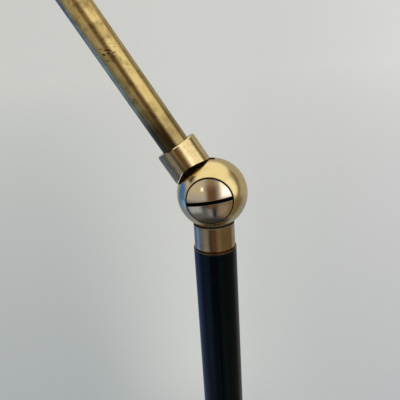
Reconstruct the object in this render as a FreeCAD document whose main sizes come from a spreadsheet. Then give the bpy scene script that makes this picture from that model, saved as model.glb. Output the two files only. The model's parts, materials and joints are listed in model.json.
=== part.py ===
import FreeCAD, Part
import math
import os
import Sketcher
from FreeCAD import Placement, Rotation, Vector

# Adjustable arm floor lamp. Millimetres, +Z up, origin under the middle of the base on the floor.
# The stem stands on the Z axis, both pivots lie along Y, and the arm leans towards -X.
# arm_lean, head_bend and the sizes ending in _turn, _near or _far are degrees; mouth_side, mouth_peak,
# cope_start and bulb_side are shares of a radius; vent_count is a number of holes.

SIZES = {
    # shared allowances: how far cuts run past a face, eased edges, and the play between pieces
    "overshoot": 2, "edge": 0.4, "play": 0.35, "leaf_play": 0.3, "seam": 0.35, "pin_play": 0.05, "slip": 0.1,
    # base: a cast disc with a rounded edge, a low hub and a recess underneath
    "base_radius": 130, "base_ease": 1, "base_edge": 14, "base_crown": 18, "base_shoulder": 6,
    "shoulder_bend": 6.5, "hub_radius": 34, "hub_foot": 6, "hub_bend": 8, "crown_rise": 1, "base_hub": 22,
    "recess_radius": 30, "recess_depth": 10, "felt_radius": 126, "felt_thick": 2,
    # the cable's way in
    "inlet_radius": 4.5, "inlet_height": 8, "inlet_root": 3, "gland_bore": 3.3, "gland_length": 14,
    "gland_flange": 6.6, "gland_pocket": 7.2, "gland_sink": 1.5, "gland_proud": 2, "gland_ease": 1,
    # threaded tube, washer and nut that hold the stem to the base, and the ring round its foot
    "rod_radius": 5, "rod_bore": 3.4, "rod_start": 2, "rod_length": 52, "washer_radius": 12,
    "washer_thick": 1.5, "nut_flats": 17, "nut_height": 6, "foot_radius": 17, "foot_band": 4,
    "foot_height": 16, "foot_lip": 2.5, "foot_bend": 24,
    # stem and the cable inside it
    "stem_radius": 10.05, "stem_wall": 1.8, "plug_height": 30, "pivot_height": 1080, "cable_radius": 2.5,
    "cable_start": 4, "cable_gap": 2,
    # swivel under the elbow
    "swivel_gap": 0.3, "swivel_washer": 0.5, "spigot_length": 26, "spigot_play": 0.05,
    "collar_reach": 25.6, "groove_depth": 1.8, "groove_width": 4.6, "groove_drop": 15,
    "set_screw_radius": 2, "set_screw_grip": 1.2, "set_screw_sink": 0.2,
    # shared by both knuckles: the slot's mouth, the nipple, the pivot's thread and washer, the blade's ends
    "mouth_side": 1.5, "mouth_peak": 2.1, "nipple_wall": 1.3, "nipple_seat": 1.5, "thread_reach": 3,
    "spring": 0.8, "spring_play": 0.4, "spring_step": 1.5, "blade_root": 1, "ring_wall": 1, "cope_start": 0.7,
    # the elbow knuckle: ball, neck rings, slotted pivot screw and the blade that turns in the ball
    "elbow_ball": 16, "elbow_neck": 9.5, "elbow_cap": 9.9, "elbow_dome": 21, "elbow_seat": 8,
    "elbow_shank": 2.5, "elbow_eye": 7, "elbow_blade": 6, "elbow_leaf": 3.2, "elbow_plug": 17.8,
    "elbow_step": 24, "elbow_top": 27, "elbow_pipe": 6.4, "elbow_bore": 5.4, "elbow_spigot": 44,
    "elbow_nipple": 5, "elbow_nipple_length": 15, "elbow_slit": 1.6, "elbow_slit_depth": 2.8,
    "elbow_slit_turn": 7.5, "elbow_near": 5, "elbow_far": 97, "elbow_offset": -1.4,
    # the head knuckle, a smaller copy of the elbow
    "head_ball": 12.5, "head_neck": 7.6, "head_cap": 7.7, "head_dome": 16.4, "head_seat": 6.2,
    "head_shank": 2, "head_eye": 5.2, "head_blade": 4.8, "head_leaf": 2.6, "head_plug": 14,
    "head_step": 18.6, "head_top": 21, "head_pipe": 5, "head_bore": 4, "head_spigot": 30,
    "head_nipple": 4, "head_nipple_length": 9, "head_slit": 0.9, "head_slit_depth": 2.4,
    "head_slit_turn": -20, "head_near": 5, "head_far": 97, "head_offset": 0, "head_reach": 22,
    # the arm: its lean at rest, and how far its line passes from the elbow's centre (elbow_offset above)
    "arm_lean": 31.2, "arm_length": 450, "head_bend": 90, "lead_radius": 1.5, "tube_gap": 2.5,
    # cap and lampholder, along the head's own axis from the head pivot
    "neck_end": 54, "cap_start": 44, "cap_end": 79.8, "cap_radius": 25, "cap_wall": 1.2, "cap_round": 12,
    "holder_start": 50, "holder_end": 90.5, "holder_radius": 19.3, "holder_round": 3, "socket_radius": 14.2,
    "socket_floor": 62, "flange_radius": 22.5, "flange_thick": 2, "ring_radius": 23.5, "ring_thick": 7,
    "shell_radius": 14.1, "shell_wall": 0.6, "shell_gap": 1, "shell_end": 88, "contact_proud": 2,
    # shade and bulb
    "shade_start": 80, "shade_wall": 0.8, "shade_crown": 34, "shade_shoulder": 12, "shade_mouth": 95,
    "shade_end": 212, "bead_radius": 1.8, "vent_radius": 3, "vent_circle": 29, "vent_count": 8,
    "bulb_tip": 4, "bulb_tip_foot": 5, "bulb_tip_height": 2, "bulb_cone": 3, "bulb_cap_radius": 13.3,
    "bulb_cap_ease": 1, "bulb_neck": 92, "bulb_lip": 1.2, "bulb_blend": 55, "bulb_radius": 30,
    "bulb_centre": 136, "bulb_side": 0.8, "glass_wall": 0.9,
    # rotary switch on the cap
    "switch_height": 65, "switch_radius": 4.5, "knob_radius": 6, "knob_length": 9.5, "knob_shaft": 1.6,
    "knob_gap": 0.4, "knob_round": 1, "switch_gap": 0.3,
}

CUTS = ("PartDesign::Pocket", "PartDesign::Groove")
LEAST_CUT = 0.1  # cubic millimetres

doc = FreeCAD.newDocument("floor_lamp")
sheet = doc.addObject("Spreadsheet::Sheet", "dims")
parts = []


def fill_sheet():
    """One row for each driving size: its name, then its value under an alias."""
    for row, (name, value) in enumerate(SIZES.items(), start=1):
        sheet.set(f"A{row}", name)
        sheet.set(f"B{row}", str(value))
        sheet.setAlias(f"B{row}", name)
    doc.recompute()


def measure(text):
    """The value of an expression on the sheet."""
    return float(sheet.evalExpression(text))


def bind(item, **expressions):
    """Drive an object's sizes by expressions."""
    for name, text in expressions.items():
        item.setExpression(name, text)
    return item


# Frames: where a piece sits, as the position expressions and the turn about Y, then a turn of its own.

LEAN = SIZES["arm_lean"]
HEAD_TURN = LEAN + SIZES["head_bend"]
OFF_X = "dims.elbow_offset * cos(dims.arm_lean * 1 deg)"
OFF_Z = "dims.elbow_offset * sin(dims.arm_lean * 1 deg)"
HEAD_X = OFF_X + " - dims.arm_length * sin(dims.arm_lean * 1 deg)"
HEAD_Z = "dims.pivot_height + " + OFF_Z + " + dims.arm_length * cos(dims.arm_lean * 1 deg)"
FLOOR = ("0", "0", 0)
ELBOW = ("0", "dims.pivot_height", 0)
ARM = ("0", "dims.pivot_height", LEAN)
ARM_LINE = (OFF_X, "dims.pivot_height + " + OFF_Z, LEAN)
ARM_END = (HEAD_X, HEAD_Z, LEAN)
HEAD = (HEAD_X, HEAD_Z, HEAD_TURN)
INLET = ("0", "dims.inlet_height", 0)
STEM_TOP = "(dims.pivot_height - dims.collar_reach - dims.swivel_gap - dims.swivel_washer)"
SET_SCREW = ("0", STEM_TOP + " - dims.groove_drop", 0)
SWITCH = (HEAD_X + " - dims.switch_height * sin((dims.arm_lean + dims.head_bend) * 1 deg)",
          HEAD_Z + " + dims.switch_height * cos((dims.arm_lean + dims.head_bend) * 1 deg)", HEAD_TURN)

QUARTER, FULL_TURN = 90, 360
UPRIGHT = Rotation()
HANGING = Rotation(Vector(0, 1, 0), 2 * QUARTER)
FRONT = Rotation(Vector(1, 0, 0), QUARTER)
REAR = Rotation(Vector(1, 0, 0), -QUARTER)


def keep(item, label, frame=FLOOR, turn=UPRIGHT):
    """Name a finished sub-part, put it in its frame and list it for writing."""
    across, height, lean = frame
    item.Label = label
    item.Placement = Placement(Vector(), Rotation(Vector(0, 1, 0), -lean) * turn)
    bind(item, **{".Placement.Base.x": across, ".Placement.Base.z": height})
    parts.append(item)
    return item


# Sketches

def plane_of(body, role):
    """One of a body's own origin planes."""
    return next(item for item in body.Origin.OriginFeatures if item.Role == role)


def new_sketch(body, name, role):
    sketch = body.newObject("Sketcher::SketchObject", name)
    sketch.AttachmentSupport = [(plane_of(body, role), "")]
    sketch.MapMode = "FlatFace"
    return sketch


def arc_through(start, end, radius, side):
    """The arc from start to end with its centre on the left (side 1) or right (side -1) of the chord."""
    chord = end - start
    across = Vector(-chord.y, chord.x, 0).normalize()
    offset = math.sqrt(max(radius ** 2 - (chord.Length / 2) ** 2, 0))
    centre = (start + end) / 2 + across * (offset * side)
    first, last = (start, end) if side > 0 else (end, start)
    angles = [math.atan2(point.y - centre.y, point.x - centre.x) for point in (first, last)]
    circle = Part.Circle(centre, Vector(0, 0, 1), radius)
    return Part.ArcOfCircle(circle, angles[0], angles[1])


def pin_coordinate(sketch, kind, axis, corner, text, name):
    """Fix one coordinate of a corner to an expression, or to the axis when it is zero."""
    geometry, point = corner
    if text == "0":
        sketch.addConstraint(Sketcher.Constraint("PointOnObject", geometry, point, axis))
        return
    index = sketch.addConstraint(Sketcher.Constraint(kind, -1, 1, geometry, point, measure(text)))
    sketch.renameConstraint(index, name)
    sketch.setExpression(f"Constraints.{name}", text)


def draw_outline(sketch, outline):
    """A closed outline. Each corner is (x, y), or (x, y, radius, side) where an arc arrives at it."""
    corners = [Vector(measure(item[0]), measure(item[1]), 0) for item in outline]
    starts = []
    for number, item in enumerate(outline):
        start, end = corners[number - 1], corners[number]
        if len(item) == 4:
            index = sketch.addGeometry(arc_through(start, end, measure(item[2]), item[3]))
            starts.append((index, 1, 2) if item[3] > 0 else (index, 2, 1))
            bend = sketch.addConstraint(Sketcher.Constraint("Radius", index, measure(item[2])))
            sketch.renameConstraint(bend, f"bend{number}")
            sketch.setExpression(f"Constraints.bend{number}", item[2])
        else:
            starts.append((sketch.addGeometry(Part.LineSegment(start, end)), 1, 2))
    for number, item in enumerate(outline):
        index, _, tail = starts[number]
        following, head, _ = starts[(number + 1) % len(outline)]
        sketch.addConstraint(Sketcher.Constraint("Coincident", index, tail, following, head))
        pin_coordinate(sketch, "DistanceX", -2, (index, tail), item[0], f"across{number}")
        pin_coordinate(sketch, "DistanceY", -1, (index, tail), item[1], f"along{number}")


def draw_circle(sketch, radius, x="0", y="0"):
    centre = Vector(measure(x), measure(y), 0)
    index = sketch.addGeometry(Part.Circle(centre, Vector(0, 0, 1), measure(radius)))
    bend = sketch.addConstraint(Sketcher.Constraint("Radius", index, measure(radius)))
    sketch.renameConstraint(bend, "bend")
    sketch.setExpression("Constraints.bend", radius)
    pin_coordinate(sketch, "DistanceX", -2, (index, 3), x, "across")
    pin_coordinate(sketch, "DistanceY", -1, (index, 3), y, "along")


# Features

def new_body(name):
    return doc.addObject("PartDesign::Body", name + "_body")


def turn_section(body, name, outline, kind="Revolution", role="XZ_Plane"):
    """Turn a section about the sketch's upright axis, to add it or to cut it away."""
    sketch = new_sketch(body, name + "_section", role)
    draw_outline(sketch, outline)
    feature = body.newObject("PartDesign::" + kind, name)
    feature.Profile = sketch
    feature.ReferenceAxis = (sketch, ["V_Axis"])
    feature.Angle = FULL_TURN
    return feature


def through(body, name, length, kind="Pocket", role="XZ_Plane"):
    """A pad or pocket that runs the same way to both sides of its sketch."""
    sketch = new_sketch(body, name + "_outline", role)
    feature = body.newObject("PartDesign::" + kind, name)
    feature.Profile = sketch
    feature.SideType = "Symmetric"
    return bind(feature, Length=length)


def turned(label, outline, frame=FLOOR, turn=UPRIGHT):
    """A sub-part made on a lathe."""
    body = new_body(label)
    turn_section(body, label + "_turning", outline)
    return keep(body, label, frame, turn)


def ring(label, inner, outer, low, high, frame=FLOOR, turn=UPRIGHT):
    """A plain ring or tube."""
    corners = [(inner, low), (outer, low), (outer, high), (inner, high)]
    return turned(label, corners, frame, turn)


def rod(label, radius, low, high, frame=FLOOR, turn=UPRIGHT):
    """A plain round bar."""
    return turned(label, [("0", low), (radius, low), (radius, high), ("0", high)], frame, turn)


# Base and stem

def build_base():
    """Cast disc with a rounded edge, a low hub, a recess for the nut and a radial way in for the cable."""
    floor, top = "dims.felt_thick", "(dims.felt_thick + dims.base_crown)"
    recess = "dims.felt_thick + dims.recess_depth"
    body = new_body("base")
    turn_section(body, "base_turning", [
        ("dims.rod_radius", recess), ("dims.recess_radius", recess), ("dims.recess_radius", floor),
        ("dims.base_radius - dims.base_ease", floor),
        ("dims.base_radius", floor + " + dims.base_ease", "dims.base_ease", 1),
        ("dims.base_radius", "dims.base_edge"),
        ("dims.base_radius - dims.base_shoulder", top, "dims.shoulder_bend", 1),
        ("dims.hub_radius + dims.hub_foot", top + " + dims.crown_rise"),
        ("dims.hub_radius", floor + " + dims.base_hub", "dims.hub_bend", -1),
        ("dims.rod_radius", floor + " + dims.base_hub")])
    root, sink = "dims.recess_radius - dims.inlet_root", "dims.base_radius - dims.gland_sink"
    outside = "dims.base_radius + dims.overshoot"
    way_in = turn_section(body, "cable_way", [
        ("0", root), ("dims.inlet_radius", root), ("dims.inlet_radius", sink),
        ("dims.gland_pocket", sink), ("dims.gland_pocket", outside), ("0", outside)], "Groove", "XY_Plane")
    bind(way_in.Profile[0], **{".AttachmentOffset.Base.z": "dims.inlet_height"})
    keep(body, "base")


def build_base_fittings():
    """Felt, cable gland, threaded tube, washer, nut and the foot ring round the stem."""
    recess = "(dims.felt_thick + dims.recess_depth)"
    hub = "(dims.felt_thick + dims.base_hub)"
    rod("base_felt", "dims.felt_radius", "0", "dims.felt_thick")
    inside, sink = "dims.base_radius - dims.gland_length", "dims.base_radius - dims.gland_sink"
    outside = "dims.base_radius + dims.gland_proud"
    turned("cable_gland", [
        ("dims.gland_bore", inside), ("dims.inlet_radius", inside), ("dims.inlet_radius", sink),
        ("dims.gland_flange", sink), ("dims.gland_flange", outside + " - dims.gland_ease"),
        ("dims.gland_flange - dims.gland_ease", outside), ("dims.gland_bore", outside)], INLET, REAR)
    ring("base_rod", "dims.rod_bore", "dims.rod_radius", "dims.felt_thick + dims.rod_start",
         "dims.felt_thick + dims.rod_length")
    ring("base_washer", "dims.rod_radius", "dims.washer_radius", recess + " - dims.washer_thick", recess)
    build_hex_nut(recess + " - dims.washer_thick - dims.nut_height")
    turned("foot_ring", [
        ("dims.stem_radius", hub), ("dims.foot_radius", hub), ("dims.foot_radius", hub + " + dims.foot_band"),
        ("dims.stem_radius + dims.foot_lip", hub + " + dims.foot_height", "dims.foot_bend", -1),
        ("dims.stem_radius", hub + " + dims.foot_height")])


def build_hex_nut(low):
    """The hexagon nut under the base."""
    prism = doc.addObject("Part::Prism", "nut_blank")
    prism.Polygon = 6
    bind(prism, Circumradius="dims.nut_flats / sqrt(3)", Height="dims.nut_height")
    bore = doc.addObject("Part::Cylinder", "nut_bore")
    bind(bore, Radius="dims.rod_radius", Height="2 * dims.nut_height")
    nut = doc.addObject("Part::Cut", "nut_cut")
    nut.Base, nut.Tool = prism, bore
    keep(nut, "base_nut", ("0", low, 0))


def build_stem():
    """Lacquered stem tube with its foot plug, and the fixed half of the swivel at its top."""
    bore = "(dims.stem_radius - dims.stem_wall)"
    foot = "(dims.felt_thick + dims.base_hub)"
    inside, outside = bore + " - dims.overshoot", "dims.stem_radius + dims.overshoot"
    body = new_body("stem")
    turn_section(body, "stem_turning", [
        (bore, foot), ("dims.stem_radius", foot), ("dims.stem_radius", STEM_TOP + " - dims.edge"),
        ("dims.stem_radius - dims.edge", STEM_TOP), (bore, STEM_TOP)])
    hole = turn_section(body, "set_screw_hole", [
        ("0", inside), ("dims.set_screw_radius", inside), ("dims.set_screw_radius", outside),
        ("0", outside)], "Groove", "XY_Plane")
    bind(hole.Profile[0], **{".AttachmentOffset.Base.z": SET_SCREW[1]})
    keep(body, "stem")
    ring("stem_plug", "dims.rod_radius", bore, foot, foot + " + dims.plug_height")
    rod("stem_set_screw", "dims.set_screw_radius", bore + " - dims.set_screw_grip",
        "dims.stem_radius - dims.set_screw_sink", SET_SCREW, REAR)
    ring("swivel_washer", bore, "dims.stem_radius", STEM_TOP, STEM_TOP + " + dims.swivel_washer")
    rod("stem_cable", "dims.cable_radius", "dims.felt_thick + dims.cable_start",
        "dims.pivot_height - dims.collar_reach - dims.spigot_length - dims.cable_gap")


def build_elbow_collar():
    """Brass collar with a seat for the ball, and a grooved spigot that turns in the stem's top."""
    seat = "(dims.elbow_ball + dims.pin_play)"
    rim = "(dims.elbow_neck - dims.edge)"
    spigot = "(dims.stem_radius - dims.stem_wall - dims.spigot_play)"
    groove = "(dims.collar_reach + dims.swivel_gap + dims.swivel_washer + dims.groove_drop)"
    turned("elbow_collar", [
        ("dims.elbow_nipple", f"sqrt({seat}^2 - dims.elbow_nipple^2)"),
        (rim, f"sqrt({seat}^2 - {rim}^2)", seat, -1),
        ("dims.elbow_neck", f"sqrt({seat}^2 - {rim}^2) + dims.edge"),
        ("dims.elbow_neck", "dims.collar_reach - dims.edge"),
        (rim, "dims.collar_reach"), (spigot, "dims.collar_reach"),
        (spigot, groove + " - dims.groove_width / 2"),
        (spigot + " - dims.groove_depth", groove + " - dims.groove_width / 2"),
        (spigot + " - dims.groove_depth", groove + " + dims.groove_width / 2"),
        (spigot, groove + " + dims.groove_width / 2"),
        (spigot, "dims.collar_reach + dims.spigot_length"),
        ("dims.elbow_nipple", "dims.collar_reach + dims.spigot_length")], ELBOW, HANGING)


# The knuckles. Both are the same design at two sizes, so each size name starts with elbow_ or head_.

def along(angle, distance, offset):
    """A point at a distance along a leaning line and offset to its right, as two expressions."""
    sine, cosine = f"sin({angle} * 1 deg)", f"cos({angle} * 1 deg)"
    return (f"{offset} * {cosine} - {distance} * {sine}", f"{offset} * {sine} + {distance} * {cosine}")


def build_ball(k, frame):
    """Ball with a slot for the blade, a bore and seats for the pivot screw, and a hole for the nipple."""
    size, label = "dims." + k, k + "ball"
    ball, seat, cap = size + "ball", size + "seat", f"({size}cap + dims.seam)"
    slot = f"({size}leaf + 2 * dims.leaf_play)"
    edge = f"({size}blade / 2 + dims.play)"
    near, far, middle = size + "near", size + "far", f"({size}near + {size}far) / 2"
    body = new_body(label)
    turn_section(body, label + "_sphere", [("0", "-" + ball), (ball, "0", ball, 1), ("0", ball, ball, 1)])
    draw_circle(through(body, label + "_eye_room", slot).Profile[0], f"{size}eye + dims.play")
    draw_outline(through(body, label + "_slot", slot).Profile[0], [
        along(near, "0", edge), along(near, f"dims.mouth_side * {ball}", edge),
        along(middle, f"dims.mouth_peak * {ball}", "0"),
        along(far, f"dims.mouth_side * {ball}", "-" + edge), along(far, "0", "-" + edge)])
    pin, outside = f"({size}shank + dims.pin_play)", f"({ball} + dims.overshoot)"
    turn_section(body, label + "_pivot_bore", [
        ("0", "-" + outside), (cap, "-" + outside), (cap, "-" + seat), (pin, "-" + seat),
        (pin, seat), (cap, seat), (cap, outside), ("0", outside)], "Groove", "XY_Plane")
    depth = f"(-{size}eye - dims.nipple_seat)"
    turn_section(body, label + "_nipple_hole", [
        ("0", "-" + outside), (size + "nipple", "-" + outside), (size + "nipple", depth), ("0", depth)],
        "Groove")
    keep(body, label, frame)


def build_pivot(k, frame):
    """Screw and nut with slotted domes, flush with the ball at their edges, and a spring washer."""
    size = "dims." + k
    cap, shank, seat = size + "cap", size + "shank", size + "seat"
    flush = f"sqrt({size}ball^2 - {cap}^2)"
    dome = f"{size}dome"
    apex = f"({flush} + {dome} - sqrt({dome}^2 - {cap}^2))"
    domed = [(cap, flush), ("0", apex, dome, 1)]
    inner, tip = seat + " + dims.spring", f"({seat} + dims.thread_reach)"
    build_domed(k + "screw", k, [("0", "-" + tip), (shank, "-" + tip), (shank, seat), (cap, seat)] + domed,
                apex, frame, FRONT)
    build_domed(k + "nut", k, [("0", tip), (shank, tip), (shank, inner), (cap, inner)] + domed,
                apex, frame, REAR)
    ring(k + "spring_washer", shank + " + dims.spring_play", cap + " - dims.spring_step", seat, inner,
         frame, REAR)


def build_domed(label, k, outline, apex, frame, turn):
    """A domed turning with a screwdriver slot across its crown."""
    size = "dims." + k
    body = new_body(label)
    turn_section(body, label + "_turning", outline)
    sketch = through(body, label + "_driver_slot", f"3 * {size}cap").Profile[0]
    half, floor, outside = f"{size}slit / 2", f"{apex} - {size}slit_depth", apex + " + dims.overshoot"
    draw_outline(sketch, [("-" + half, floor), (half, floor), (half, outside), ("-" + half, outside)])
    keep(body, label, frame, turn * Rotation(Vector(0, 0, 1), QUARTER + SIZES[k + "slit_turn"]))


def build_tongue(k, frame):
    """Blade with an eye that turns in the ball, and a plug and spigot that hold the tube."""
    size, label = "dims." + k, k + "tongue"
    half, root = size + "blade / 2", "dims.blade_root"
    end = size + "plug + " + root
    body = new_body(label)
    draw_circle(through(body, label + "_eye", size + "leaf", "Pad").Profile[0], size + "eye")
    draw_outline(through(body, label + "_blade", size + "leaf", "Pad").Profile[0], [
        ("-" + half, root), (half, root), (half, end), ("-" + half, end)])
    plug = turn_section(body, label + "_plug", [
        ("0", size + "plug"), (f"{size}neck - dims.ring_wall", size + "plug"),
        (f"{size}neck - dims.ring_wall", size + "step"), (size + "bore", size + "step"),
        (size + "bore", size + "spigot"), ("0", size + "spigot")])
    bind(plug.Profile[0], **{".AttachmentOffset.Base.x": size + "offset"})
    draw_circle(through(body, label + "_pin_bore", f"3 * {size}leaf").Profile[0],
                f"{size}shank + dims.pin_play")
    keep(body, label, frame)


def build_sleeve(k, frame):
    """Ring over the plug and the tube's end, its mouth coped to turn clear round the ball."""
    size, label = "dims." + k, k + "sleeve"
    wall = f"({size}neck - dims.ring_wall)"
    body = new_body(label)
    start = f"dims.cope_start * {size}ball"
    blank = turn_section(body, label + "_turning", [
        (wall, start), (size + "neck", start),
        (size + "neck", f"{size}top - dims.edge"), (f"{size}neck - dims.edge", size + "top"),
        (size + "pipe", size + "top"), (size + "pipe", size + "step"), (wall, size + "step")])
    bind(blank.Profile[0], **{".AttachmentOffset.Base.x": size + "offset"})
    draw_circle(through(body, label + "_cope", f"3 * {size}neck").Profile[0], f"{size}ball + dims.play")
    keep(body, label, frame)


def build_nipple(k, frame):
    """Threaded tube that joins a ball to its collar and lets the leads through."""
    size = "dims." + k
    start = size + "eye + dims.nipple_seat"
    ring(k + "nipple", size + "nipple - dims.nipple_wall", size + "nipple", start,
         f"{start} + {size}nipple_length", frame, HANGING)


def build_arm():
    """Arm tube between the two knuckles, the lead inside it and the collar at its end."""
    end = "(dims.arm_length - dims.head_ball - dims.tube_gap)"
    ring("arm_tube", "dims.elbow_bore", "dims.elbow_pipe", "dims.elbow_step", end, ARM_LINE)
    rod("arm_cable", "dims.lead_radius", "dims.elbow_spigot + dims.cable_gap", end + " - dims.cable_gap",
        ARM_LINE)
    seat = "(dims.head_ball + dims.pin_play)"
    rim = "(dims.head_neck - dims.edge)"
    turned("head_collar", [
        ("dims.head_nipple", f"sqrt({seat}^2 - dims.head_nipple^2)"),
        (rim, f"sqrt({seat}^2 - {rim}^2)", seat, -1),
        ("dims.head_neck", f"sqrt({seat}^2 - {rim}^2) + dims.edge"),
        ("dims.head_neck", "dims.head_reach - dims.edge"), (rim, "dims.head_reach"),
        ("dims.elbow_pipe", "dims.head_reach"), ("dims.elbow_pipe", "dims.head_ball + dims.tube_gap"),
        ("dims.head_nipple", "dims.head_ball + dims.tube_gap")], ARM_END, HANGING)


# The head

def build_holder_cap():
    """Spun brass cup behind the lampholder, with a side hole for the switch shaft."""
    outer, inner = "dims.cap_radius", "(dims.cap_radius - dims.cap_wall)"
    body = new_body("holder_cap")
    turn_section(body, "cap_spinning", [
        ("dims.head_pipe", "dims.cap_start"), (outer + " - dims.cap_round", "dims.cap_start"),
        (outer, "dims.cap_start + dims.cap_round", "dims.cap_round", 1), (outer, "dims.cap_end"),
        (inner, "dims.cap_end"), (inner, "dims.cap_start + dims.cap_round"),
        (outer + " - dims.cap_round", "dims.cap_start + dims.cap_wall", "dims.cap_round - dims.cap_wall", -1),
        ("dims.head_pipe", "dims.cap_start + dims.cap_wall")])
    shaft = "dims.knob_shaft + dims.pin_play"
    outside, inside = "-dims.cap_radius - dims.overshoot", "-" + inner + " + dims.overshoot"
    hole = turn_section(body, "switch_hole", [
        ("0", outside), (shaft, outside), (shaft, inside), ("0", inside)], "Groove", "XY_Plane")
    bind(hole.Profile[0], **{".AttachmentOffset.Base.z": "dims.switch_height"})
    keep(body, "holder_cap", HEAD)


def build_lampholder():
    """Lampholder body with its socket, the screw shell and centre contact in it, and the neck tube."""
    ring("neck_tube", "dims.head_bore", "dims.head_pipe", "dims.head_step", "dims.neck_end", HEAD)
    turned("lampholder", [
        ("dims.head_bore", "dims.neck_end"), ("dims.head_pipe", "dims.neck_end"),
        ("dims.head_pipe", "dims.holder_start"),
        ("dims.holder_radius - dims.holder_round", "dims.holder_start"),
        ("dims.holder_radius", "dims.holder_start + dims.holder_round", "dims.holder_round", 1),
        ("dims.holder_radius", "dims.shade_start - dims.flange_thick"),
        ("dims.flange_radius", "dims.shade_start - dims.flange_thick"),
        ("dims.flange_radius", "dims.shade_start"), ("dims.holder_radius", "dims.shade_start"),
        ("dims.holder_radius", "dims.holder_end"), ("dims.socket_radius", "dims.holder_end"),
        ("dims.socket_radius", "dims.socket_floor"), ("dims.head_bore", "dims.socket_floor")], HEAD)
    ring("holder_shell", "dims.shell_radius - dims.shell_wall", "dims.shell_radius",
         "dims.socket_floor + dims.shell_gap", "dims.shell_end", HEAD)
    rod("holder_contact", "dims.head_bore - dims.slip", "dims.neck_end + dims.cable_gap",
        "dims.socket_floor + dims.contact_proud", HEAD)
    ring("shade_ring", "dims.holder_radius", "dims.ring_radius", "dims.shade_start + dims.shade_wall",
         "dims.shade_start + dims.shade_wall + dims.ring_thick", HEAD)


def build_shade():
    """Spun shade: a flat crown with a ring of vents, a round shoulder, a cone and a beaded mouth."""
    wall, crown, bend = "dims.shade_wall", "dims.shade_crown", "dims.shade_shoulder"
    start, end, mouth = "dims.shade_start", "dims.shade_end", "dims.shade_mouth"
    hole = "dims.holder_radius + dims.slip"
    body = new_body("shade")
    turn_section(body, "shade_spinning", [
        (hole, start), (crown, start),
        (f"{crown} + {bend}", f"{start} + {bend}", bend, 1), (mouth, end),
        (f"{mouth} - {wall}", end), (f"{crown} + {bend} - {wall}", f"{start} + {bend}"),
        (crown, f"{start} + {wall}", f"{bend} - {wall}", -1), (hole, f"{start} + {wall}")])
    bead = new_sketch(body, "bead_section", "XZ_Plane")
    draw_circle(bead, "dims.bead_radius", f"{mouth} - {wall} / 2", end)
    roll = body.newObject("PartDesign::Revolution", "bead")
    roll.Profile = bead
    roll.ReferenceAxis = (bead, ["V_Axis"])
    roll.Angle = FULL_TURN
    vent = through(body, "vent", f"4 * {wall}", "Pocket", "XY_Plane")
    draw_circle(vent.Profile[0], "dims.vent_radius", "dims.vent_circle")
    bind(vent.Profile[0], **{".AttachmentOffset.Base.z": f"{start} + {wall} / 2"})
    pattern = body.newObject("PartDesign::PolarPattern", "vents")
    pattern.Originals = [vent]
    pattern.Axis = (vent.Profile[0], ["N_Axis"])
    pattern.Angle = FULL_TURN
    bind(pattern, Occurrences="dims.vent_count")
    body.Tip = pattern
    keep(body, "shade", HEAD)


def build_bulb():
    """Screw-cap bulb: a metal cap in the shell and a thin blown globe."""
    neck, cap = "dims.bulb_neck", "dims.bulb_cap_radius"
    tip = "dims.socket_floor + dims.contact_proud"
    foot = tip + " + dims.bulb_tip_height"
    cone = foot + " + dims.bulb_cone"
    turned("bulb_cap", [
        ("0", tip), ("dims.bulb_tip", tip), ("dims.bulb_tip_foot", foot),
        (cap + " - dims.bulb_cap_ease", cone), (cap, cone + " + dims.bulb_cap_ease"),
        (cap, neck), ("0", neck)], HEAD)
    middle, outer, inner = "dims.bulb_centre", "dims.bulb_radius", "(dims.bulb_radius - dims.glass_wall)"
    side, down, blend = "dims.bulb_side", "sqrt(1 - dims.bulb_side^2)", "dims.bulb_blend"
    turned("bulb_glass", [
        (cap + " - dims.bulb_lip", neck, blend + " + dims.glass_wall", 1), (cap, neck),
        (f"{outer} * {side}", f"{middle} - {outer} * {down}", blend, -1),
        ("0", f"{middle} + {outer}", outer, 1), ("0", f"{middle} + {inner}"),
        (f"{inner} * {side}", f"{middle} - {inner} * {down}", inner, -1)], HEAD)


def build_switch():
    """Rotary switch on the cap: a body inside it and a knob that turns outside it."""
    shaft_end = "dims.cap_radius - dims.cap_wall - dims.switch_gap"
    knob_start, knob_end = "dims.cap_radius + dims.knob_gap", "dims.cap_radius + dims.knob_length"
    rod("switch_body", "dims.switch_radius", "dims.holder_radius + dims.slip",
        shaft_end + " - dims.switch_gap", SWITCH, FRONT)
    turned("switch_knob", [
        ("0", shaft_end), ("dims.knob_shaft", shaft_end), ("dims.knob_shaft", knob_start),
        ("dims.knob_radius", knob_start), ("dims.knob_radius", knob_end + " - dims.knob_round"),
        ("dims.knob_radius - dims.knob_round", knob_end, "dims.knob_round", 1), ("0", knob_end)],
        SWITCH, FRONT)


def check_document():
    """Stop if anything failed to build, or if a cut took nothing away."""
    doc.recompute()
    for item in doc.Objects:
        if {"Invalid", "Error"} & set(item.State):
            raise RuntimeError(f"{item.Name} ({item.Label}) failed: {item.State}")
        if item.TypeId in CUTS and item.Shape.Volume >= item.BaseFeature.Shape.Volume - LEAST_CUT:
            raise RuntimeError(f"{item.Name} cut nothing away")
    for item in parts:
        if item.Shape.isNull() or not item.Shape.isValid() or not item.Shape.Solids:
            raise RuntimeError(f"{item.Label} has no valid solid")


def write_parts():
    """One STEP file for each sub-part, and a line that says how big it is."""
    os.makedirs("parts", exist_ok=True)
    for item in parts:
        item.Shape.exportStep(f"parts/{item.Label}.step")
        box = item.Shape.optimalBoundingBox()
        low, high = (box.XMin, box.YMin, box.ZMin), (box.XMax, box.YMax, box.ZMax)
        ends = " ".join(f"{value:8.1f}" for pair in zip(low, high) for value in pair)
        print(f"{item.Label:22s} solids {len(item.Shape.Solids)} volume {item.Shape.Volume:12.1f} {ends}")


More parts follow.
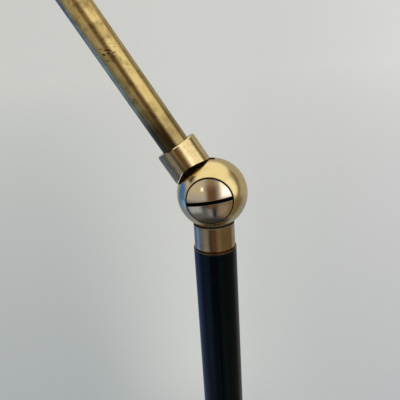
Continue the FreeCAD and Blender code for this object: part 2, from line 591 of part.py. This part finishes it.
fill_sheet()
build_base()
build_base_fittings()
build_stem()
build_elbow_collar()
for knuckle, fixed, moving in (("elbow_", ELBOW, ARM), ("head_", ARM_END, HEAD)):
    build_ball(knuckle, fixed)
    build_pivot(knuckle, fixed)
    build_nipple(knuckle, fixed)
    build_tongue(knuckle, moving)
    build_sleeve(knuckle, moving)
build_arm()
build_holder_cap()
build_lampholder()
build_shade()
build_bulb()
build_switch()
check_document()
write_parts()
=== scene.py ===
import json
import math

import bpy
from mathutils import Matrix, Vector

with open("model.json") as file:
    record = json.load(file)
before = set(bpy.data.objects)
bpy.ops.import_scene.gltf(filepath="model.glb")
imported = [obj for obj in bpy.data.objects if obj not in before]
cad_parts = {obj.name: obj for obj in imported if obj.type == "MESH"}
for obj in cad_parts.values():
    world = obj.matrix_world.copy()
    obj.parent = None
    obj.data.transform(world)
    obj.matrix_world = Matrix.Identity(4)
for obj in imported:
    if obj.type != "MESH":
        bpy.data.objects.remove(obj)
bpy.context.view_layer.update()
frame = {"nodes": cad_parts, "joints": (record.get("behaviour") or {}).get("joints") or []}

# Adjustable arm floor lamp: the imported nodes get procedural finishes, and the camera looks closely
# at the elbow, where the brass arm meets the black stem. Metres, +Z up, the viewer stands on the -Y side.

NODES = frame["nodes"]
JOINTS = {joint["name"]: joint for joint in frame["joints"]}
ELBOW = Vector(JOINTS["elbow_tilt"]["pos_m"])
HEAD = Vector(JOINTS["head_tilt"]["pos_m"])
ARM_AXIS = (HEAD - ELBOW).normalized()
ARM_LEAN = math.atan2(-ARM_AXIS.x, ARM_AXIS.z)
SWITCH = Vector(JOINTS["switch_turn"]["pos_m"])
HEAD_AXIS = (SWITCH - HEAD).normalized()
HEAD_LEAN = math.atan2(-HEAD_AXIS.x, HEAD_AXIS.z)
WORLD = Vector((0, 0, 0))
ELBOW_SLOT, HEAD_SLOT = 7.5, -20.0  # degrees the screwdriver slots are turned


# Shader helpers

MIX_SHARE, MIX_FIRST, MIX_SECOND, MIX_RESULT = 0, 6, 7, 2  # a mix node's colour sockets, by number


def feed(tree, socket, value):
    """Link a socket, or set its own value when it is uniform."""
    if isinstance(value, bpy.types.NodeSocket):
        tree.links.new(value, socket)
    else:
        socket.default_value = value


def make(tree, kind, inputs=(), **settings):
    """A shader node with its settings and its inputs fed, by name or number."""
    node = tree.nodes.new("ShaderNode" + kind)
    for name, value in settings.items():
        setattr(node, name, value)
    for key, value in dict(inputs).items():
        feed(tree, node.inputs[key], value)
    return node


def calc(tree, operation, *values, clamp=False):
    """One step of arithmetic."""
    node = make(tree, "Math", dict(enumerate(values)), operation=operation, use_clamp=clamp)
    return node.outputs[0]


def remap(tree, value, low, high, to_low=0.0, to_high=1.0, kind="SMOOTHSTEP"):
    """Carry low..high to to_low..to_high, held at the ends."""
    inputs = {"Value": value, "From Min": low, "From Max": high, "To Min": to_low, "To Max": to_high}
    return make(tree, "MapRange", inputs, interpolation_type=kind).outputs["Result"]


def blend(tree, share, first, second, mode="MIX"):
    """Mix two colours: all first at a share of 0, all second at 1."""
    inputs = {MIX_SHARE: share, MIX_FIRST: first, MIX_SECOND: second}
    return make(tree, "Mix", inputs, data_type="RGBA", blend_type=mode).outputs[MIX_RESULT]


def noise(tree, place, scale, detail=3.0, roughness=0.5):
    """Cloudy noise, between 0 and 1 and mostly near the middle. The scale is in cycles per metre."""
    inputs = {"Vector": place, "Scale": scale, "Detail": detail, "Roughness": roughness}
    return make(tree, "TexNoise", inputs).outputs["Fac"]


def own_place(tree, origin=WORLD, lean=0.0, stretch=(1, 1, 1)):
    """The surface point in a piece's own axes: Z along it, from its origin, in metres, then stretched."""
    point = make(tree, "TexCoord").outputs["Object"]
    moved = make(tree, "VectorMath", {0: point, 1: origin}, operation="SUBTRACT").outputs[0]
    turned = make(tree, "VectorRotate", {"Vector": moved, "Angle": lean}, rotation_type="Y_AXIS").outputs[0]
    return make(tree, "VectorMath", {0: turned, 1: stretch}, operation="MULTIPLY").outputs[0]


def new_material(name, base, metallic, roughness, coat=0.0, **sockets):
    """A material whose uniform values sit on its Principled shader's own sockets."""
    material = bpy.data.materials.new(name)
    material.use_nodes = True
    tree = material.node_tree
    shader = tree.nodes["Principled BSDF"]
    shader.inputs["Metallic"].default_value = metallic
    feed(tree, shader.inputs["Base Color"], base)
    feed(tree, shader.inputs["Roughness"], roughness)
    shader.inputs["Coat Weight"].default_value = coat
    for key, value in sockets.items():
        shader.inputs[key.replace("_", " ")].default_value = value
    return material, tree, shader


def bump(tree, shader, height, strength, distance):
    """Small relief in the shader's normal. The distance is in metres."""
    node = make(tree, "Bump", {"Strength": strength, "Distance": distance, "Height": height})
    tree.links.new(node.outputs["Normal"], shader.inputs["Normal"])


def rgb(red, green, blue):
    """A colour with its alpha."""
    return (red, green, blue, 1.0)


def scaled(colour, factor):
    """A colour made lighter or darker."""
    return rgb(*(factor * part for part in colour))


def axis_of(tree, place, axis):
    """One coordinate of a point."""
    return make(tree, "SeparateXYZ", {0: place}).outputs[axis]


def length_of(tree, vector):
    return make(tree, "VectorMath", {0: vector}, operation="LENGTH").outputs["Value"]


def turned_about_y(tree, vector, degrees):
    inputs = {"Vector": vector, "Angle": math.radians(degrees)}
    return make(tree, "VectorRotate", inputs, rotation_type="Y_AXIS").outputs[0]


# Finishes. Sizes are in metres, in each piece's own axes, and shares run from 0 to 1.

# The near-black used for dirt and for painted shade.
GRIME_AND_SHADE_COLOUR, GRIME_AND_SHADE_ROUGHNESS = (0.006, 0.005, 0.004), 0.7
CLEAN_AND_LIT_SPECULAR = 0.5
TARNISH_AND_SHADE_DARKNESS, SPECK_DARKNESS = 0.22, 0.35  # shares of the dull colour that are left in tarnish and painted shade, and in specks
TURNING_LINES = (60, 60, 6000)  # cycles per metre across, across and along the piece
LINE_RELIEF, LINE_STRENGTH = 0.00006, 0.35
SCAR_PLACE, SCAR_REACH = Vector((-0.0017, -0.0062, 0.0745)), 0.0068
SCAR_TURN, SCAR_STROKES = -20, (380, 200, 1150)  # degrees, and cycles per metre
SEAM_REACH = 0.3  # share of a seam's dirt that is fully dark
SLOT_FULL, SLOT_NONE = 0.95, 1.15  # shares of a slot's half width where its dirt and painted shade are full and gone


def brass(name, origin, lean, bright, dull, gloss, ageing, grain, grime_and_shade=None, tarnish_and_shade=None):
    """Brass with its own colour drift, fine lines that run round the piece, specks, grime in its seams, and
    painted shade in slots and where parts meet.

    gloss is the lowest and highest roughness, ageing how much of the dull colour shows, grain the
    strength of the lines; the grime function says how much of a point is dark with dirt and painted shade,
    and the tarnish function how much of it is brown with tarnish and painted shade.
    """
    material, tree, shader = new_material(name, rgb(*bright), 1.0, gloss[0])
    place = own_place(tree, origin, lean)
    drift = noise(tree, place, scale=150.0, detail=4.0, roughness=0.6)
    stain = remap(tree, drift, 0.62 - 0.3 * ageing, 0.80 - 0.2 * ageing)
    grit = noise(tree, place, scale=2600.0, detail=2.0, roughness=0.7)
    specks = calc(tree, "MULTIPLY", remap(tree, grit, 0.64, 0.72), 0.55 * ageing + 0.04)
    colour = blend(tree, calc(tree, "MULTIPLY", stain, ageing), rgb(*bright), rgb(*dull))
    colour = blend(tree, specks, colour, scaled(dull, SPECK_DARKNESS))
    smear = noise(tree, place, scale=380.0, detail=5.0, roughness=0.65)
    rough = remap(tree, smear, 0.3, 0.75, gloss[0], gloss[1], "LINEAR")
    # Tarnish here includes painted shade on the arm and the sleeve.
    if tarnish_and_shade:
        colour = blend(tree, tarnish_and_shade(tree, place), colour, scaled(dull, TARNISH_AND_SHADE_DARKNESS))
    # The grime mask holds painted shade too: in screwdriver slots, on the ball's bottom and on the collar's
    # top.
    if grime_and_shade:
        dirt_and_shade = grime_and_shade(tree, place)
        clean_and_lit = calc(tree, "SUBTRACT", 1.0, dirt_and_shade)
        colour = blend(tree, dirt_and_shade, colour, rgb(*GRIME_AND_SHADE_COLOUR))
        rough = calc(tree, "MAXIMUM", rough, calc(tree, "MULTIPLY", dirt_and_shade, GRIME_AND_SHADE_ROUGHNESS))
        tree.links.new(clean_and_lit, shader.inputs["Metallic"])
        tree.links.new(calc(tree, "MULTIPLY", clean_and_lit, CLEAN_AND_LIT_SPECULAR), shader.inputs["Specular IOR Level"])
    tree.links.new(colour, shader.inputs["Base Color"])
    tree.links.new(rough, shader.inputs["Roughness"])
    lines = noise(tree, own_place(tree, origin, lean, TURNING_LINES), scale=1.0, detail=2.0, roughness=0.6)
    bump(tree, shader, calc(tree, "MULTIPLY", lines, grain), LINE_STRENGTH, LINE_RELIEF)
    return material


def slot_grime_and_shade(turn, half_width):
    """Dirt and painted shade in a screwdriver slot that is turned by so many degrees from the piece's own X
    axis.
    """
    def share(tree, place):
        across = axis_of(tree, turned_about_y(tree, place, turn), "Z")
        return remap(tree, calc(tree, "ABSOLUTE", across), SLOT_NONE * half_width, SLOT_FULL * half_width)
    return share


def ring_grime(radius, width, strength):
    """Dirt along the seam round the pivot screw."""
    def share(tree, place):
        flat = make(tree, "VectorMath", {0: place, 1: (1, 0, 1)}, operation="MULTIPLY").outputs[0]
        off = calc(tree, "ABSOLUTE", calc(tree, "SUBTRACT", length_of(tree, flat), radius))
        return calc(tree, "MULTIPLY", remap(tree, off, width, SEAM_REACH * width), strength)
    return share


def end_shade(clean_and_lit, shaded_end, strength):
    """Painted shade that grows along the piece's own axis, from the height where it starts to the height
    where it is full.
    """
    def share(tree, place):
        return calc(tree, "MULTIPLY", remap(tree, axis_of(tree, place, "Z"), clean_and_lit, shaded_end), strength)
    return share


def either(*kinds):
    """The strongest of several kinds of dirt and painted shade."""
    def share(tree, place):
        worst = 0.0
        for kind in kinds:
            worst = calc(tree, "MAXIMUM", worst, kind(tree, place))
        return worst
    return share


def arm_tarnish_and_shade(tree, place):
    """Painted shade close to the sleeve, stronger on the tube's left side; darker towards the sleeve along
    the tube; brown tarnish in clouds; and dark scars on its near side.
    """
    height = axis_of(tree, place, "Z")
    side = remap(tree, axis_of(tree, place, "X"), 0.0030, -0.0030, 0.25, 0.95)
    # low is painted shade close to the sleeve, stronger on the tube's left side; wide darkens the tube
    # towards the sleeve.
    low = calc(tree, "MULTIPLY", remap(tree, height, 0.054, 0.030), side)
    wide = remap(tree, height, 0.120, 0.035, 0.02, 0.25, "LINEAR")
    mottle = noise(tree, place, scale=180.0, detail=5.0, roughness=0.7)
    worn = calc(tree, "MAXIMUM", calc(tree, "ADD", low, wide), remap(tree, mottle, 0.46, 0.66, 0.0, 0.55))
    return calc(tree, "MAXIMUM", worn, scars(tree, place), clamp=True)


def sleeve_tarnish_and_shade(tree, place):
    """Painted shade on the far side from the window, and brown tarnish in soft clouds."""
    # Painted shade: the side away from the window is darkened.
    shade = remap(tree, axis_of(tree, place, "X"), 0.0002, -0.0058, 0.0, 0.52)
    mottle = noise(tree, place, scale=260.0, detail=4.0, roughness=0.65)
    return calc(tree, "ADD", shade, remap(tree, mottle, 0.50, 0.70, 0.0, 0.25))


def scars(tree, place):
    """A few short dark strokes close together."""
    off = make(tree, "VectorMath", {0: place, 1: SCAR_PLACE}, operation="SUBTRACT").outputs[0]
    near = remap(tree, length_of(tree, off), SCAR_REACH, 0.4 * SCAR_REACH)
    turned = turned_about_y(tree, off, SCAR_TURN)
    strokes = make(tree, "VectorMath", {0: turned, 1: SCAR_STROKES}, operation="MULTIPLY").outputs[0]
    cracks = make(tree, "TexVoronoi", {"Vector": strokes, "Scale": 1.0}).outputs["Distance"]
    return calc(tree, "MULTIPLY", remap(tree, cracks, 0.42, 0.26), near)


def lacquer(name, colour, roughness):
    """Stoved gloss lacquer with a faint orange peel."""
    material, tree, shader = new_material(name, rgb(*colour), 0.0, roughness, Specular_IOR_Level=0.36,
                                          Specular_Tint=rgb(0.25, 0.6, 1.0))
    place = own_place(tree)
    cloud = noise(tree, place, scale=240.0, detail=4.0)
    rough = remap(tree, cloud, 0.35, 0.7, roughness, roughness + 0.12, "LINEAR")
    tree.links.new(rough, shader.inputs["Roughness"])
    tint = blend(tree, noise(tree, place, scale=30.0), rgb(*colour), scaled(colour, 1.5))
    tree.links.new(tint, shader.inputs["Base Color"])
    bump(tree, shader, noise(tree, place, scale=900.0, detail=2.0), strength=0.12, distance=0.00005)
    return material


def plain(name, colour, roughness, metallic=0.0, scale=800.0, relief=0.2):
    """Moulded, plated or cast finish with a fine grain of its own."""
    material, tree, shader = new_material(name, rgb(*colour), metallic, roughness)
    cloud = noise(tree, own_place(tree), scale, detail=4.0, roughness=0.6)
    tint = blend(tree, cloud, scaled(colour, 0.8), scaled(colour, 1.2))
    tree.links.new(tint, shader.inputs["Base Color"])
    rough = remap(tree, cloud, 0.3, 0.7, 0.85 * roughness, min(1.2 * roughness, 1.0), "LINEAR")
    tree.links.new(rough, shader.inputs["Roughness"])
    bump(tree, shader, cloud, relief, distance=0.00008)
    return material


def shade_finish():
    """Black lacquer outside and white enamel inside, told apart by which way the surface faces."""
    black, white = rgb(0.012, 0.012, 0.013), rgb(0.82, 0.80, 0.75)
    material, tree, shader = new_material("shade_lacquer", black, 0.0, 0.2, coat=0.2, Coat_Roughness=0.08)
    place = own_place(tree, HEAD, HEAD_LEAN, (1, 1, 0))
    outward = make(tree, "VectorMath", {0: place}, operation="NORMALIZE").outputs[0]
    normal = make(tree, "NewGeometry").outputs["Normal"]
    resting = make(tree, "VectorTransform", {"Vector": normal}, vector_type="NORMAL",
                   convert_from="WORLD", convert_to="OBJECT").outputs[0]
    own_normal = turned_about_y(tree, resting, math.degrees(HEAD_LEAN))
    facing = make(tree, "VectorMath", {0: own_normal, 1: outward}, operation="DOT_PRODUCT").outputs["Value"]
    inside = remap(tree, facing, -0.05, -0.15)
    tree.links.new(blend(tree, inside, black, white), shader.inputs["Base Color"])
    cloud = noise(tree, own_place(tree), scale=300.0)
    tree.links.new(remap(tree, cloud, 0.3, 0.7, 0.16, 0.3, "LINEAR"), shader.inputs["Roughness"])
    bump(tree, shader, noise(tree, own_place(tree), scale=700.0, detail=2.0), strength=0.1, distance=0.00006)
    return material


def bulb_finish():
    """Frosted glass, lit by nothing of its own."""
    material, tree, shader = new_material("bulb_glass", rgb(0.93, 0.92, 0.88), 0.0, 0.35,
                                          coat=0.3, Transmission_Weight=0.35)
    grain = noise(tree, own_place(tree), scale=1500.0)
    tree.links.new(remap(tree, grain, 0.3, 0.7, 0.28, 0.42, "LINEAR"), shader.inputs["Roughness"])
    bump(tree, shader, grain, strength=0.1, distance=0.00003)
    return material


# Brass colours are (bright, dull); gloss is (lowest, highest) roughness.

ARM_COLOURS = (0.86, 0.68, 0.33), (0.50, 0.37, 0.16)
SLEEVE_COLOURS = (0.84, 0.69, 0.40), (0.46, 0.33, 0.16)
COLLAR_COLOURS = (0.62, 0.49, 0.33), (0.36, 0.25, 0.16)
BALL_COLOURS = (0.86, 0.72, 0.41), (0.55, 0.41, 0.2)
HEAD_COLOURS = (0.86, 0.70, 0.43), (0.5, 0.36, 0.2)
HEAD_BALL_COLOURS = (0.86, 0.70, 0.42), (0.55, 0.40, 0.2)
SCREW_COLOURS = (0.90, 0.82, 0.70), (0.6, 0.5, 0.38)
HEAD_SCREW_COLOURS = (0.84, 0.75, 0.62), (0.6, 0.5, 0.38)
DARK_COLOURS = (0.16, 0.11, 0.06), (0.05, 0.035, 0.02)
BRONZE_COLOURS = (0.26, 0.17, 0.09), (0.1, 0.06, 0.03)
POLISHED, HEAD_POLISHED, SATIN = (0.07, 0.11), (0.06, 0.1), (0.16, 0.24)
ELBOW_SLOT_HALF, HEAD_SLOT_HALF = 0.00084, 0.00045  # half widths of the screwdriver slots
ELBOW_SEAM, HEAD_SEAM = 0.0102, 0.0081  # radii of the seams round the pivot screws


def elbow_finishes():
    """Brass for the pieces about the elbow, by node."""
    # The seam round the screw is dirt; the ball's bottom, over the collar, gets painted shade.
    ball_grime_and_shade = either(ring_grime(ELBOW_SEAM, 0.0006, 1.0), end_shade(-0.0119, -0.0127, 0.9))
    return {
        "arm_tube": brass("arm_brass", ELBOW, ARM_LEAN, *ARM_COLOURS, gloss=(0.17, 0.28), ageing=0.75,
                          grain=0.6, tarnish_and_shade=arm_tarnish_and_shade),
        "elbow_sleeve": brass("sleeve_brass", ELBOW, ARM_LEAN, *SLEEVE_COLOURS, gloss=(0.10, 0.17),
                              ageing=0.35, grain=0.3, tarnish_and_shade=sleeve_tarnish_and_shade),
        # The collar's top, under the ball, gets painted shade.
        "elbow_collar": brass("collar_brass", ELBOW, 0.0, *COLLAR_COLOURS, gloss=(0.12, 0.2), ageing=0.4,
                              grain=0.3, grime_and_shade=end_shade(-0.0146, -0.0138, 0.95)),
        "elbow_ball": brass("ball_brass", ELBOW, 0.0, *BALL_COLOURS, gloss=SATIN, ageing=0.2, grain=0.2,
                            grime_and_shade=ball_grime_and_shade),
        "elbow_screw": brass("screw_brass", ELBOW, 0.0, *SCREW_COLOURS, gloss=POLISHED, ageing=0.12,
                             grain=0.1, grime_and_shade=slot_grime_and_shade(ELBOW_SLOT, ELBOW_SLOT_HALF)),
        "elbow_nut": brass("nut_brass", ELBOW, 0.0, *SCREW_COLOURS, gloss=POLISHED, ageing=0.12,
                           grain=0.1, grime_and_shade=slot_grime_and_shade(-ELBOW_SLOT, ELBOW_SLOT_HALF)),
        "swivel_washer": brass("bronze", ELBOW, 0.0, *BRONZE_COLOURS, gloss=(0.3, 0.4), ageing=0.4,
                               grain=0.2),
    }


def head_finishes():
    """Brass for the pieces about the head, by node."""
    spun = brass("head_brass", HEAD, HEAD_LEAN, *HEAD_COLOURS, gloss=(0.10, 0.18), ageing=0.25, grain=0.3)
    finishes = {name: spun for name in ("head_collar", "head_sleeve", "neck_tube", "holder_cap")}
    finishes["head_ball"] = brass("head_ball_brass", HEAD, 0.0, *HEAD_BALL_COLOURS, gloss=SATIN, ageing=0.2,
                                  grain=0.2, grime_and_shade=ring_grime(HEAD_SEAM, 0.0004, 0.9))
    finishes["head_screw"] = brass("head_screw_brass", HEAD, ARM_LEAN, *HEAD_SCREW_COLOURS,
                                   gloss=HEAD_POLISHED, ageing=0.12, grain=0.1,
                                   grime_and_shade=slot_grime_and_shade(HEAD_SLOT, HEAD_SLOT_HALF))
    finishes["head_nut"] = brass("head_nut_brass", HEAD, ARM_LEAN, *HEAD_SCREW_COLOURS,
                                 gloss=HEAD_POLISHED, ageing=0.12, grain=0.1,
                                 grime_and_shade=slot_grime_and_shade(-HEAD_SLOT, HEAD_SLOT_HALF))
    return finishes


def paint_nodes():
    """Give every CAD node its finish. What isn't named is zinc-plated steel."""
    finishes = elbow_finishes() | head_finishes()
    finishes["foot_ring"] = finishes["elbow_collar"]
    shared = (
        (brass("dark_brass", ELBOW, ARM_LEAN, *DARK_COLOURS, gloss=(0.4, 0.6), ageing=0.5, grain=0.3),
         ("elbow_tongue", "head_tongue", "holder_contact")),
        (lacquer("black_lacquer", (0.0006, 0.0008, 0.0014), 0.16), ("stem", "base")),
        (plain("phenolic", (0.018, 0.018, 0.018), 0.35),
         ("lampholder", "shade_ring", "switch_knob", "switch_body", "stem_cable", "arm_cable")),
        (plain("felt", (0.02, 0.022, 0.02), 0.95, scale=2500.0, relief=0.8), ("base_felt",)),
        (plain("rubber", (0.02, 0.02, 0.02), 0.6), ("cable_gland",)),
        (shade_finish(), ("shade",)),
        (bulb_finish(), ("bulb_glass",)),
    )
    for finish, names in shared:
        finishes.update(dict.fromkeys(names, finish))
    steel = plain("zinc_steel", (0.55, 0.55, 0.56), 0.35, metallic=1.0)
    for name, node in NODES.items():
        node.data.materials.clear()
        node.data.materials.append(finishes.get(name, steel))


# The room: plain to the camera, but polished metal needs windows, walls and shadows to reflect.
# Each patch is (name, middle and width round the lamp, middle and height above the horizon, softness of
# its sides and of its ends, slant, colour). Degrees: 0 round is towards the viewer, 90 is to the viewer's
# right, and the slant is how far the middle moves round with each degree of height. Later patches lie
# over earlier ones.

ROOM_WALL = (0.40, 0.37, 0.31)
ROOM = (
    ("floor_back", 180, 130, -55, 70, 14, 14, 0, (0.28, 0.29, 0.30)),
    ("floor_front", -15, 130, -50, 70, 12, 12, 0, (0.105, 0.105, 0.105)),
    ("floor_near", 0, 360, -74, 30, 16, 16, 0, (0.035, 0.033, 0.028)),
    ("floor_right", 72, 92, -36, 46, 12, 12, 0, (0.160, 0.118, 0.062)),
    ("floor_patch", 30, 26, -37, 28, 16, 16, 0, (0.25, 0.20, 0.13)),
    ("floor_glint", -48, 36, -32, 20, 16, 12, 0, (0.34, 0.365, 0.37)),
    ("floor_streak", -11, 14, -42, 26, 12, 12, -0.1, (0.20, 0.20, 0.205)),
    ("floor_strip", 6, 10, -38, 40, 9, 12, 0, (0.022, 0.020, 0.014)),
    ("floor_left", -82, 34, -28, 26, 12, 12, 0, (0.17, 0.20, 0.30)),
    ("left_low", -116, 50, -34, 34, 10, 10, 0, (0.19, 0.25, 0.42)),
    ("left_wall", -78, 50, 30, 44, 8, 8, 0, (0.56, 0.52, 0.52)),
    ("left_dark", -112, 40, -4, 40, 10, 12, 0, (0.06, 0.18, 0.56)),
    ("left_glow", -104, 18, -24, 14, 8, 8, 0, (0.20, 0.42, 1.00)),
    ("front_left", -40, 44, 17, 32, 14, 14, 0, (0.52, 0.43, 0.29)),
    ("skirting", -12, 24, -23, 16, 16, 12, 0, (0.055, 0.042, 0.028)),
    ("lamp_glow", -23, 5, 15, 8, 5, 5, 0, (1.5, 1.4, 1.0)),
    ("lintel", 0, 28, 30, 34, 20, 22, 0, (0.25, 0.18, 0.10)),
    ("doorway", 2, 27, -4, 54, 15, 24, 0, (0.125, 0.068, 0.034)),
    ("window", 60, 74, 19, 50, 9, 9, 0, (1.06, 1.00, 0.82)),
    ("window_pane", 38, 17, 8, 20, 12, 12, 0, (1.40, 1.38, 1.30)),
    ("curtain", 101, 15, 18, 70, 9, 9, 0.6, (0.15, 0.115, 0.05)),
    ("ceiling", 0, 400, 70, 52, 10, 10, 0, (0.98, 0.90, 0.70)),
)


def band(tree, value, middle, width, soft, wrap=False):
    """1 inside a band of a direction, falling softly to 0 outside it."""
    away = calc(tree, "SUBTRACT", value, math.radians(middle))
    if wrap:
        away = calc(tree, "WRAP", away, math.pi, -math.pi)
    away = calc(tree, "ABSOLUTE", away)
    half, edge = math.radians(width / 2), math.radians(soft / 2)
    return remap(tree, away, half + edge, half - edge)


def build_room():
    """The world that the metal reflects and that lights the lamp. The camera sees the backdrop instead."""
    world = bpy.data.worlds.new("room")
    bpy.context.scene.world = world
    world.use_nodes = True
    tree = world.node_tree
    background = tree.nodes["Background"]
    direction = make(tree, "TexCoord").outputs["Generated"]
    way = make(tree, "SeparateXYZ", {0: direction}).outputs
    height = calc(tree, "ARCSINE", way["Z"])
    around = calc(tree, "ARCTAN2", way["X"], calc(tree, "MULTIPLY", way["Y"], -1.0))
    colour = rgb(*ROOM_WALL)
    for _, middle, width, level, tall, soft, fade, slant, tint in ROOM:
        leaning = calc(tree, "SUBTRACT", around, calc(tree, "MULTIPLY", height, slant)) if slant else around
        share = calc(tree, "MULTIPLY", band(tree, leaning, middle, width, soft, wrap=True),
                     band(tree, height, level, tall, fade))
        colour = blend(tree, share, colour, rgb(*tint))
    seen = backdrop_colour(tree, way["X"], way["Y"])
    camera = make(tree, "LightPath").outputs["Is Camera Ray"]
    tree.links.new(blend(tree, camera, colour, seen), background.inputs["Color"])


def bearing(tree, across, away):
    """The angle round the lamp in radians: 0 is straight back, and to the viewer's right is positive."""
    return calc(tree, "ARCTAN2", across, away)


# Backdrop and floor. Bearings and band widths are in degrees, ranges of their sines are plain numbers,
# and distances from the lamp are in metres.

BACKDROP_LEFT, BACKDROP_RIGHT = (0.600, 0.605, 0.570), (0.655, 0.660, 0.635)
BACKDROP_MIDDLE, BACKDROP_EDGE = (0.605, 0.610, 0.583), (0.71, 0.71, 0.695)
BACKDROP_TURN, BACKDROP_RANGE = 10, (-0.35, 0.45)
MIDDLE_BAND, EDGE_RANGE = (1, 4, 24), (0.15, 0.42)
FLOOR_SIZE = 60.0
FLOOR_TINT = (0.932, 0.996, 1.186)  # makes the lit floor meet the backdrop in colour
# Painted shade on the floor to the lamp's left, middle and right, and a painted lighter ridge.
FLOOR_LEFT, FLOOR_MIDDLE, FLOOR_RIGHT = (0.635, 0.685, 0.735), (0.785, 0.805, 0.835), (0.68, 0.69, 0.715)
FLOOR_RIDGE = (0.98, 0.99, 1.0)
LEFT_RANGE, RIGHT_RANGE = (-0.08, -0.55), (0.05, 0.42)
RIDGE_BAND, RIDGE_START = (-9, 16, 26), (0.8, 1.3)
FALL_FROM, FALL_POWER = 1.6, 1.4  # the floor's painted shade darkens it inwards from 10 ** 1.6 metres


def backdrop_colour(tree, across, away):
    """The pale backdrop: lighter on the right, with a slightly darker middle."""
    turn = bearing(tree, across, away)
    leaning = calc(tree, "SINE", calc(tree, "ADD", turn, math.radians(BACKDROP_TURN)))
    colour = blend(tree, remap(tree, leaning, *BACKDROP_RANGE), rgb(*BACKDROP_LEFT), rgb(*BACKDROP_RIGHT))
    colour = blend(tree, band(tree, turn, *MIDDLE_BAND), colour, rgb(*BACKDROP_MIDDLE))
    edge = remap(tree, calc(tree, "SINE", turn), *EDGE_RANGE)
    return blend(tree, edge, colour, rgb(*BACKDROP_EDGE))


def floor_shade(tree, point, across, away):
    """Painted shade on the floor: how much light it keeps, all of it far away, less near the lamp and to its
    left and right, with a painted lighter ridge behind the lamp.
    """
    reach = length_of(tree, point)
    near = remap(tree, calc(tree, "LOGARITHM", reach, 10.0), FALL_FROM, 0.0, kind="LINEAR")
    near = calc(tree, "POWER", near, FALL_POWER)
    turn = bearing(tree, across, away)
    side = calc(tree, "SINE", turn)
    dim = blend(tree, remap(tree, side, *LEFT_RANGE), rgb(*FLOOR_MIDDLE), rgb(*FLOOR_LEFT))
    dim = blend(tree, remap(tree, side, *RIGHT_RANGE), dim, rgb(*FLOOR_RIGHT))
    ridge = calc(tree, "MULTIPLY", band(tree, turn, *RIDGE_BAND), remap(tree, reach, *RIDGE_START))
    dim = blend(tree, ridge, dim, rgb(*FLOOR_RIDGE))
    return blend(tree, near, rgb(1, 1, 1), dim)


def build_floor():
    """A wide pale floor that meets the backdrop without a line."""
    mesh = bpy.data.meshes.new("floor")
    corners = [(x * FLOOR_SIZE, y * FLOOR_SIZE, 0.0) for x, y in ((-1, -1), (1, -1), (1, 1), (-1, 1))]
    mesh.from_pydata(corners, [], [(0, 1, 2, 3)])
    floor = bpy.data.objects.new("floor", mesh)
    bpy.context.scene.collection.objects.link(floor)
    material, tree, shader = new_material("floor_paint", rgb(*BACKDROP_LEFT), 0.0, 0.9)
    point = make(tree, "TexCoord").outputs["Object"]
    place = make(tree, "SeparateXYZ", {0: point}).outputs
    # The floor's colour carries the backdrop's tones and painted shade near the lamp.
    shade = floor_shade(tree, point, place["X"], place["Y"])
    far = backdrop_colour(tree, place["X"], place["Y"])
    colour = blend(tree, 1.0, blend(tree, 1.0, far, shade, "MULTIPLY"), rgb(*FLOOR_TINT), "MULTIPLY")
    tree.links.new(colour, shader.inputs["Base Color"])
    shader.inputs["Specular IOR Level"].default_value = 0.0
    floor.data.materials.append(material)
    floor.visible_glossy = False


# The key light: strength, and degrees for its width and for its place round the lamp and above the horizon

KEY_STRENGTH, KEY_COLOUR = 1.2, (1.0, 0.97, 0.9)
KEY_WIDTH, KEY_ROUND, KEY_HEIGHT = (math.radians(a) for a in (25, 60, 55))


def add_key_light():
    """A soft key light from the front right, which the metal doesn't reflect."""
    light = bpy.data.lights.new("soft_key", "SUN")
    light.energy, light.angle, light.color = KEY_STRENGTH, KEY_WIDTH, KEY_COLOUR
    sun = bpy.data.objects.new("soft_key", light)
    bpy.context.scene.collection.objects.link(sun)
    source = Vector((math.sin(KEY_ROUND) * math.cos(KEY_HEIGHT), -math.cos(KEY_ROUND) * math.cos(KEY_HEIGHT),
                     math.sin(KEY_HEIGHT)))
    sun.rotation_euler = source.to_track_quat("Z", "Y").to_euler()
    sun.visible_glossy = False


# Camera: degrees, and metres from the elbow's pivot.

CAMERA_FROM_ELBOW = Vector((0.0207, -0.1900, 0.0582))
CAMERA_YAW, CAMERA_PITCH, CAMERA_ROLL = (math.radians(a) for a in (-7.94, 17.77, 3.70))
CAMERA_LENS, CAMERA_SENSOR = 39.6, 36.0  # millimetres
CAMERA_NEAR, CAMERA_FAR = 0.01, 200.0


def build_camera():
    """Look at the elbow from just above it, turned a little to the left and rolled."""
    forward = Vector((math.sin(CAMERA_YAW) * math.cos(CAMERA_PITCH),
                      math.cos(CAMERA_YAW) * math.cos(CAMERA_PITCH), -math.sin(CAMERA_PITCH)))
    level = Vector((math.cos(CAMERA_YAW), -math.sin(CAMERA_YAW), 0))
    down = forward.cross(level)
    across = level * math.cos(CAMERA_ROLL) + down * math.sin(CAMERA_ROLL)
    upward = level * math.sin(CAMERA_ROLL) - down * math.cos(CAMERA_ROLL)
    data = bpy.data.cameras.new("camera")
    data.lens, data.sensor_width = CAMERA_LENS, CAMERA_SENSOR
    data.clip_start, data.clip_end = CAMERA_NEAR, CAMERA_FAR
    camera = bpy.data.objects.new("camera", data)
    bpy.context.scene.collection.objects.link(camera)
    turn = Matrix((across, upward, -forward)).transposed().to_4x4()
    camera.matrix_world = Matrix.Translation(ELBOW + CAMERA_FROM_ELBOW) @ turn
    bpy.context.scene.camera = camera


bpy.context.scene.view_settings.view_transform = "Standard"
paint_nodes()
build_room()
build_floor()
build_camera()
add_key_light()
